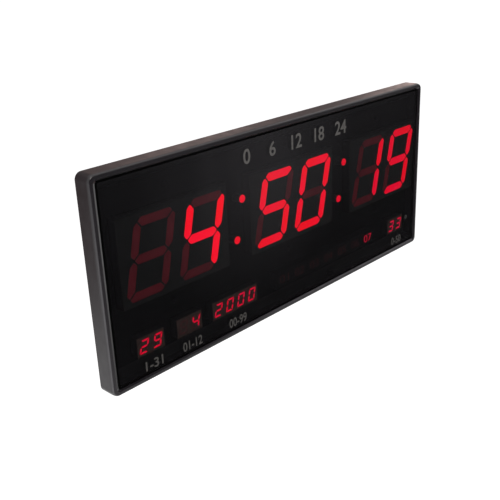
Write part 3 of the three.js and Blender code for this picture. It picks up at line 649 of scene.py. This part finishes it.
def worn_metal(name, colour, roughness):
    """Plated steel with fine scratches and dull patches."""
    shader = Shader(name)
    shader.set(Metallic=1)
    cloud = shader.noise(METAL["cloud"], detail=4)
    shader.link(
        shader.colours(cloud, scaled(colour, METAL["dull"]), scaled(colour, METAL["bright"])),
        shader.surface.inputs["Base Color"],
    )
    scratches = shader.noise(SCRATCH["size"], detail=2, stretch=SCRATCH_STRETCH)
    shader.rough(scratches, roughness - SCRATCH["smooth"], roughness + SCRATCH["rough"])
    shader.bump(scratches, SCRATCH["bump"], SCRATCH_DEPTH)
    return shader.material


bezel_plastic = moulded("bezel_plastic", BEZEL_COLOUR, 0.36, 0.52)
lip_plastic = moulded("lip_plastic", BEZEL_COLOUR, 0.2, 0.52, depth=0.005 * MM)
cover_plastic = moulded("cover_plastic", (0.022, 0.0215, 0.0225), 0.5, 0.5, grain=0.5 * MM, depth=0.05 * MM)
housing_plastic = display_face("housing_plastic", (0.0125, 0.0139, 0.0122), 0.4, 0.3)
small_housing_plastic = display_face("small_housing_plastic", (0.12, 0.07, 0.06), 0.6, 0.3)
mask_plastic = moulded("mask_plastic", (0.008, 0.008, 0.008), 0.85, 0.1)
button_plastic = moulded("button_plastic", (0.06, 0.06, 0.062), 0.45, 0.35)
inlet_plastic = moulded("inlet_plastic", (0.008, 0.008, 0.008), 0.4, 0.4)
chip_plastic = moulded("chip_plastic", (0.012, 0.012, 0.013), 0.55, 0.3, grain=0.2 * MM)
tape_foam = moulded("tape_foam", (0.006, 0.006, 0.006), 0.95, 0.05, grain=0.6 * MM, depth=0.1 * MM)
lens_acrylic = smoked_lens()
lit_red = lit_resin("lit_resin", 2.2, (0.008, 0.026))
minutes_lit_red = lit_resin("minutes_lit_resin", 1.95, (0.012, 0.03))
seconds_lit_red = lit_resin("seconds_lit_resin", 1.65, (0.016, 0.036))
small_lit_red = lit_resin("small_lit_resin", 1.5, (0.03, 0.06))
off_red = off_resin("off_resin", (0.34, 0.026, 0.045))
small_off_red = off_resin("small_off_resin", (0.2, 0.06, 0.06))
dark_resin = off_resin("dark_resin", (0.01, 0.006, 0.006))
dim_red = off_resin("dim_red", (0.14, 0.006, 0.01))
print_ink = ink("print_ink", (0.14, 0.135, 0.13))
range_ink = ink("range_ink", (0.09, 0.086, 0.082))
border_ink = ink("border_ink", (0.002, 0.002, 0.002), shine=0.01)
emboss_ink = ink("emboss_ink", (0.2, 0.2, 0.2))
board_finish = circuit_board()
screw_metal = worn_metal("screw_metal", (0.16, 0.155, 0.15), 0.42)
black_screw_metal = worn_metal("black_screw_metal", (0.012, 0.012, 0.013), 0.5)
bright_metal = worn_metal("bright_metal", (0.55, 0.55, 0.53), 0.3)

# Finishes of the solids that show as they are

FINISHES = {
    "front_lens": lens_acrylic,
    "lens_tape": tape_foam,
    "main_board": board_finish,
    "weekday_mask": mask_plastic,
    "weekday_light_guide": dark_resin,
    "microcontroller": chip_plastic,
    "digit_driver_": chip_plastic,
    "buzzer": chip_plastic,
    "coin_cell_holder": chip_plastic,
    "temperature_sensor": chip_plastic,
    "setting_switch_": chip_plastic,
    "clock_crystal": bright_metal,
    "coin_cell": bright_metal,
    "dc_inlet": inlet_plastic,
    "setting_button_": button_plastic,
    "rear_cover": cover_plastic,
    "cover_screw_": screw_metal,
    "board_screw_": black_screw_metal,
}
for display in READINGS:
    large = display in LARGE_DISPLAYS
    FINISHES[f"{display}_housing"] = housing_plastic if large else small_housing_plastic
    FINISHES[f"{display}_light_guide"] = off_red if large else small_off_red


def soft_shading():
    """A modifier tree that welds a solid's facets and shades them smooth, apart from its sharp edges."""
    group = bpy.data.node_groups.new("soft_shading", "GeometryNodeTree")
    group.interface.new_socket("Geometry", in_out="INPUT", socket_type="NodeSocketGeometry")
    group.interface.new_socket("Geometry", in_out="OUTPUT", socket_type="NodeSocketGeometry")
    add = group.nodes.new
    start, end = add("NodeGroupInput"), add("NodeGroupOutput")
    weld = add("GeometryNodeMergeByDistance")
    weld.inputs["Distance"].default_value = SOLID_WELD
    forget = add("GeometryNodeRemoveAttribute")
    forget.inputs["Name"].default_value = "custom_normal"
    smooth, crease = add("GeometryNodeSetShadeSmooth"), add("GeometryNodeSetShadeSmooth")
    crease.domain = "EDGE"
    crease.inputs["Shade Smooth"].default_value = False
    angle, compare = add("GeometryNodeInputMeshEdgeAngle"), add("FunctionNodeCompare")
    compare.inputs["B"].default_value = SOLID_SHARP_TURN
    for source, target in (
        (start.outputs[0], weld.inputs["Geometry"]),
        (weld.outputs["Geometry"], forget.inputs["Geometry"]),
        (forget.outputs["Geometry"], smooth.inputs["Geometry"]),
        (smooth.outputs["Geometry"], crease.inputs["Geometry"]),
        (angle.outputs["Unsigned Angle"], compare.inputs["A"]),
        (compare.outputs["Result"], crease.inputs["Selection"]),
        (crease.outputs["Geometry"], end.inputs[0]),
    ):
        group.links.new(source, target)
    return group


shading = soft_shading()
for name, node in nodes.items():
    finish = next((m for start, m in FINISHES.items() if name.startswith(start)), None)
    if finish:
        node.data.materials.clear()
        node.data.materials.append(finish)
        node.modifiers.new("soft_shading", "NODES").node_group = shading
        even_normals(node)

# Pieces

bezel = add_piece("bezel", bezel_mesh(), bezel_plastic, lip_plastic)
even_normals(bezel)
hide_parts("front_bezel")

lit_finishes = {"hours": lit_red, "minutes": minutes_lit_red, "seconds": seconds_lit_red}
for display, reading in READINGS.items():
    finish = lit_finishes.get(display, small_lit_red)
    lit = add_piece(f"{display}_lit", lit_mesh(display, reading), finish)

colon_finishes = (minutes_lit_red, minutes_lit_red, seconds_lit_red, seconds_lit_red)
for i, finish in enumerate(colon_finishes):
    name = f"colon_lamp_{i + 1}"
    lamp = add_piece(f"colon_light_{i + 1}", lamp_mesh(name), finish, chip_plastic)
    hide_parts(name)

lens_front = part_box("front_lens")[0].y
print_y = lens_front - PRINT_THICKNESS / 2
for i, figures in enumerate(SCALE_FIGURES):
    mesh = words_mesh(f"scale_{i + 1}", figures, SCALE_HEIGHT, None, PRINT_THICKNESS)
    mesh.transform(facing_front(SCALE_LEFT + SCALE_STEP * i, print_y, SCALE_MIDDLE))
    add_piece(f"scale_{i + 1}", mesh, print_ink)
for display, figures, width in RANGES:
    low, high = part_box(f"{display}_housing")
    mesh = words_mesh(f"{display}_range", figures, RANGE_HEIGHT, width, PRINT_THICKNESS)
    mesh.transform(facing_front((low.x + high.x) / 2, print_y, RANGE_MIDDLE))
    add_piece(f"{display}_range", mesh, range_ink)

degree_outside = circle(DEGREE_RADIUS, DEGREE_X, DEGREE_Z)
degree_inside = circle(DEGREE_RADIUS - DEGREE_STROKE, DEGREE_X, DEGREE_Z)
add_piece("degree_ring", print_mesh("degree_ring", degree_outside, degree_inside, lens_front), range_ink)

lens_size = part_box("front_lens")[1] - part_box("front_lens")[0]
lens_corner = OPENING_CORNER - LENS_CLEARANCE
border_outside, border_inside = (
    rounded_outline(lens_size.x - 2 * inset, lens_size.z - 2 * inset, lens_corner - inset)
    for inset in (0, BORDER_WIDTH)
)
add_piece("lens_border", print_mesh("lens_border", border_outside, border_inside, lens_front), border_ink)

mask_low, mask_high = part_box("weekday_mask")
mask_middle = (mask_low + mask_high) / 2
weekday_y = mask_low.y - LIT_SEAT - LIT_THICKNESS / 2
weekday_size = (WEEKDAY_HEIGHT, WEEKDAY_WIDTH, LIT_THICKNESS)
for i in range(WEEKDAY_COUNT):
    number = i + 1
    step = (i - (WEEKDAY_COUNT - 1) / 2) * WEEKDAY_PITCH
    mesh = words_mesh(f"weekday_{number}", f"{number:02}", *weekday_size, spread=WEEKDAY_SPREAD)
    mesh.transform(facing_front(mask_middle.x + step, weekday_y, mask_middle.z))
    add_piece(f"weekday_{number}", mesh, small_lit_red if number == WEEKDAY_LIT else dim_red)

cover_bottom = min(v.co.z for v in nodes["dc_inlet"].data.vertices)
button_figure_z = cover_bottom - BUTTON_FIGURE_RISE / 2
for i in range(BUTTON_COUNT):
    low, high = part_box(f"setting_button_{i + 1}")
    name = f"button_figure_{i + 1}"
    mesh = words_mesh(name, str(i + 1), BUTTON_FIGURE_HEIGHT, None, BUTTON_FIGURE_RISE)
    mesh.transform(facing_down((low.x + high.x) / 2, BUTTON_FIGURE_Y, button_figure_z))
    add_piece(name, mesh, emboss_ink)

# Stage

FLOOR_HEIGHT = -0.85
FLOOR_SIZE = 60
FLOOR_LIFT = 0.65
FLOOR_COLOUR = (0.85, 0.85, 0.85)
FLOOR_ROUGHNESS = 0.9
WORLD_LIGHT = 0.5
KEY_LAMP = {
    "place": (-0.5, -0.6, 1.2),
    "target": (0, 0, 0),
    "size": 0.8,
    "power": 9,
    "colour": (1, 0.95, 0.9),
}
FILL_LAMP = {
    "place": (-0.6, -0.05, -0.35),
    "target": (-0.18, -0.02, -0.06),
    "size": 0.42,
    "power": 1,
    "colour": (0.98, 0.96, 1),
}
FRONT_CARD = {
    "y": -0.9,
    "sides": (-2.6, 3.4),
    "ends": (-0.79, 2),
    "colour": (1, 0.94, 1),
    "light": 0.055,
    "glows": (
        {"middle": (0.9, -0.3), "reach": (0.4, 0.34), "light": 0.2},
        {"middle": (1.1, 0), "reach": (1.6, 0.5), "light": 0.12},
        {"middle": (-1.2, -0.5), "reach": (0.8, 0.9), "light": 0.25},
        {"middle": (1.5, 0.65), "reach": (0.9, 0.28), "light": 3.4},
        {"middle": (0.08, -0.72), "reach": (0.34, 0.5), "light": 1.3},
    ),
}
LOW_CARD = {"height": -0.84, "sides": (0.35, 1.7), "ends": (-0.2, 0.3), "light": 0.2}
BACK_CARD = {
    "y": 1.2,
    "sides": (-1.8, 3.4),
    "ends": (-0.72, 1.4),
    "colour": (1, 0.74, 0.68),
    "light": 0.24,
    "glows": (
        {"middle": (1.05, 0.5), "reach": (0.4, 0.8), "light": 0.6},
        {"middle": (2.3, 0.5), "reach": (0.5, 0.8), "light": 2.2},
    ),
}
GLOW_CORE = 0.2
STREAK_SIZE = 60 * MM
STREAK_STRETCH = (1, 1, 0.06)
STREAK_RANGE = (0.7, 1.3)
SEEN_BY = ("Is Camera Ray", "Is Glossy Ray", "Is Transmission Ray")


def seen_directly(tree):
    """1 for the rays that show the background: camera, glossy and transmission rays."""
    path = tree.nodes.new("ShaderNodeLightPath")
    first, *others = (path.outputs[name] for name in SEEN_BY)
    seen = first
    for other in others:
        larger = tree.nodes.new("ShaderNodeMath")
        larger.operation = "MAXIMUM"
        tree.links.new(seen, larger.inputs[0])
        tree.links.new(other, larger.inputs[1])
        seen = larger.outputs[0]
    return seen


def make_world():
    """A plain white surround, dimmer as a light than as a background."""
    world = bpy.data.worlds.new("studio")
    bpy.context.scene.world = world
    world.use_nodes = True
    tree = world.node_tree
    light = tree.nodes["Background"]
    light.inputs["Color"].default_value = (1, 1, 1, 1)
    light.inputs["Strength"].default_value = WORLD_LIGHT
    shown = tree.nodes.new("ShaderNodeBackground")
    shown.inputs["Color"].default_value = (1, 1, 1, 1)
    mix = tree.nodes.new("ShaderNodeMixShader")
    tree.links.new(seen_directly(tree), mix.inputs["Fac"])
    tree.links.new(light.outputs[0], mix.inputs[1])
    tree.links.new(shown.outputs[0], mix.inputs[2])
    tree.links.new(mix.outputs[0], tree.nodes["World Output"].inputs["Surface"])


def stage_sheet(name, corners, material):
    """A flat sheet that is not part of the object."""
    mesh = bpy.data.meshes.new(name)
    mesh.from_pydata(corners, [], [(0, 1, 2, 3)])
    mesh.materials.append(material)
    sheet = bpy.data.objects.new(name, mesh)
    bpy.context.scene.collection.objects.link(sheet)
    return sheet


def make_floor():
    """A pale floor that keeps shadows, lifted to white where it is seen."""
    shader = Shader("pale_floor")
    shader.set(Base_Color=(*FLOOR_COLOUR, 1), Roughness=FLOOR_ROUGHNESS, Specular_IOR_Level=0)
    shader.set(Emission_Color=(1, 1, 1, 1))
    lift = shader.add("ShaderNodeMath", operation="MULTIPLY")
    lift.inputs[1].default_value = FLOOR_LIFT
    shader.link(seen_directly(shader.tree), lift.inputs[0])
    shader.link(lift.outputs[0], shader.surface.inputs["Emission Strength"])
    half = FLOOR_SIZE / 2
    corners = [(x, y, FLOOR_HEIGHT) for x, y in ((-half, -half), (half, -half), (half, half), (-half, half))]
    stage_sheet("floor", corners, shader.material)


def make_card(name, card):
    """An upright card that only reflections show: an even dim light, and glows with faint upright streaks."""
    shader = Shader(name)
    shader.set(Base_Color=(0, 0, 0, 1), Specular_IOR_Level=0, Emission_Color=(*card["colour"], 1))
    shader.material.cycles.emission_sampling = "NONE"
    streaks = shader.between(shader.noise(STREAK_SIZE, stretch=STREAK_STRETCH), *STREAK_RANGE)
    total = None
    for glow in card["glows"]:
        (x, z), (across, up) = glow["middle"], glow["reach"]
        near = shader.add("ShaderNodeMapping", vector_type="TEXTURE")
        near.inputs["Location"].default_value = (x, card["y"], z)
        near.inputs["Scale"].default_value = (across, 1, up)
        shader.link(shader.place, near.inputs["Vector"])
        reach = shader.add("ShaderNodeVectorMath", operation="LENGTH")
        shader.link(near.outputs["Vector"], reach.inputs[0])
        light = shader.add("ShaderNodeMath", operation="MULTIPLY")
        fading = shader.between(reach.outputs["Value"], glow["light"], 0, GLOW_CORE, 1)
        shader.link(fading, light.inputs[0])
        shader.link(streaks, light.inputs[1])
        following = shader.add("ShaderNodeMath", operation="ADD")
        following.inputs[0].default_value = card["light"]
        if total:
            shader.link(total, following.inputs[0])
        shader.link(light.outputs[0], following.inputs[1])
        total = following.outputs[0]
    shader.link(total, shader.surface.inputs["Emission Strength"])
    (left, right), (low, high) = card["sides"], card["ends"]
    corners = [(x, card["y"], z) for x, z in ((left, low), (right, low), (right, high), (left, high))]
    only_reflected(stage_sheet(name, corners, shader.material))


def make_low_card():
    """A dark card on the floor, which only reflections show."""
    shader = Shader("low_card")
    shader.set(Base_Color=(0, 0, 0, 1), Specular_IOR_Level=0, Emission_Color=(1, 1, 1, 1))
    shader.set(Emission_Strength=LOW_CARD["light"])
    shader.material.cycles.emission_sampling = "NONE"
    (left, right), (near, far) = LOW_CARD["sides"], LOW_CARD["ends"]
    around = ((left, near), (right, near), (right, far), (left, far))
    corners = [(x, y, LOW_CARD["height"]) for x, y in around]
    only_reflected(stage_sheet("low_card", corners, shader.material))


def only_reflected(sheet):
    """Hides a sheet from all rays but glossy ones."""
    sheet.visible_camera = sheet.visible_diffuse = sheet.visible_shadow = False
    sheet.visible_transmission = sheet.visible_volume_scatter = False


def add_lamp(name, place, target, size, power, colour):
    """A square lamp that points at a target."""
    data = bpy.data.lights.new(name, "AREA")
    data.shape = "SQUARE"
    data.size = size
    data.energy = power
    data.color = colour
    lamp = bpy.data.objects.new(name, data)
    bpy.context.scene.collection.objects.link(lamp)
    lamp.location = place
    lamp.rotation_euler = (Vector(target) - Vector(place)).to_track_quat("-Z", "Y").to_euler()
    lamp.visible_camera = False


def make_camera():
    """The camera of the main view."""
    data = bpy.data.cameras.new("camera")
    data.lens = CAMERA_LENS
    data.sensor_width = SENSOR_WIDTH
    data.clip_start, data.clip_end = CAMERA_CLIP
    camera = bpy.data.objects.new("camera", data)
    bpy.context.scene.collection.objects.link(camera)
    place, target = Vector(CAMERA_PLACE), Vector(CAMERA_TARGET)
    turn = (target - place).to_track_quat("-Z", "Y") @ Quaternion((0, 0, 1), CAMERA_ROLL)
    camera.matrix_world = Matrix.Translation(place) @ turn.to_matrix().to_4x4()
    bpy.context.scene.camera = camera


make_camera()
make_world()
make_floor()
make_card("front_card", FRONT_CARD)
make_card("back_card", BACK_CARD)
make_low_card()
add_lamp("key", **KEY_LAMP)
add_lamp("fill", **FILL_LAMP)
bpy.context.scene.view_settings.view_transform = "Standard"
